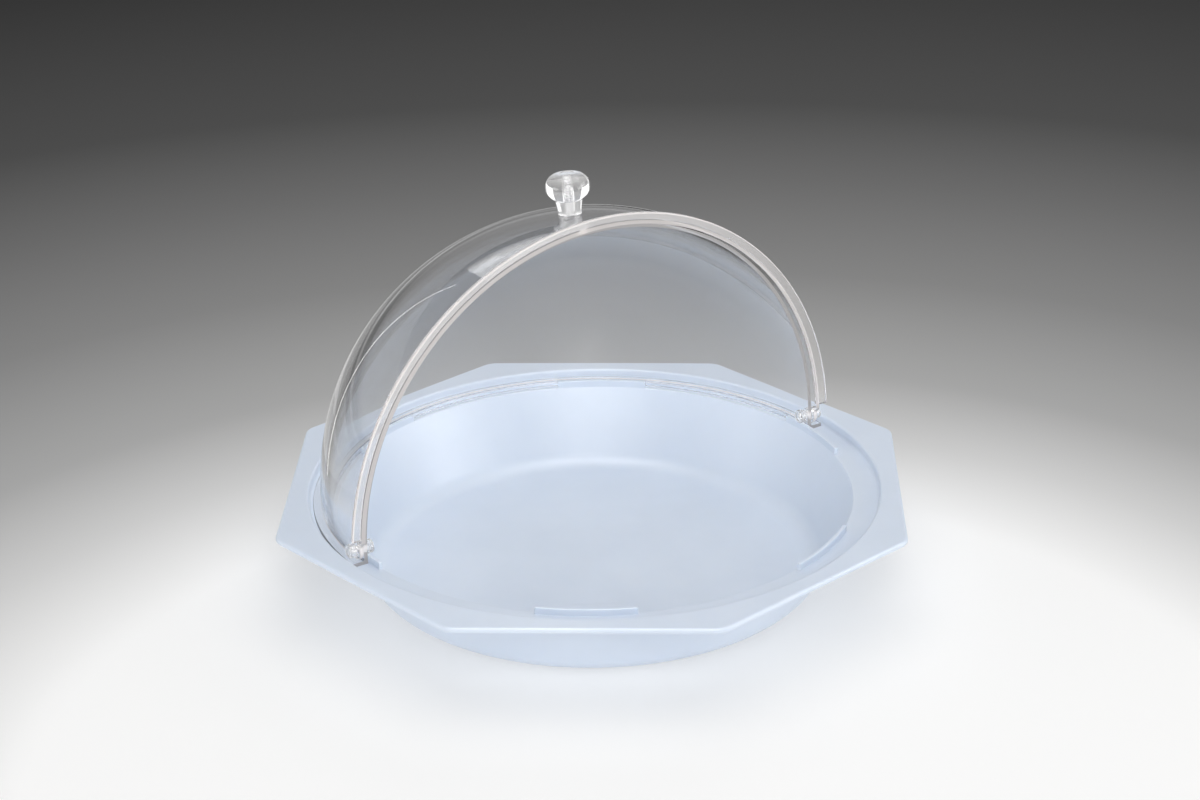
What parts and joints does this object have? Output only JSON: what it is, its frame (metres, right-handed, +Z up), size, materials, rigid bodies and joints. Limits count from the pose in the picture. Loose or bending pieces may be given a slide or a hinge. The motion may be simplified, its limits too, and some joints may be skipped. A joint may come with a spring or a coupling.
{
  "type": "roll-top food cover",
  "caption": "Clear roll-top food cover on an octagonal serving tray: an outer shell with a knob rolls back over a fixed rear shell to open the front, and the whole cover lifts off.",
  "frame": {"origin": "centre of the tray's underside, on the surface that the tray stands on", "axes": "+Z up; the roll-top's pivot axis runs along X through both pins; the cover opens towards -Y"},
  "size_m": [0.4208, 0.4208, 0.2679],
  "materials": {
    "tray_plastic": "satin pale blue moulding",
    "clear_shell": "clear polished",
    "clear_part": "clear polished",
    "screw_steel": "plain steel"
  },
  "bodies": {
    "tray": {"tray": "tray_plastic"},
    "rear_cover": {"rear_shell": "clear_shell", "left_pivot_pin": "clear_part", "right_pivot_pin": "clear_part", "left_pin_washer": "clear_part", "right_pin_washer": "clear_part", "left_spacer": "clear_part", "right_spacer": "clear_part", "left_pin_cap": "clear_part", "right_pin_cap": "clear_part"},
    "rolling_cover": {"rolling_shell": "clear_shell", "knob": "clear_part", "knob_screw": "screw_steel"}
  },
  "joints": [
    {"name": "cover_lift", "type": "slide", "parent": "tray", "child": "rear_cover", "axis": [0, 0, 1], "range_m": [0, 0.15]},
    {"name": "roll_top", "type": "hinge", "parent": "rear_cover", "child": "rolling_cover", "pos_m": [0, 0, 0.0628], "axis": [1, 0, 0], "range_deg": [0, 90]}
  ]
}
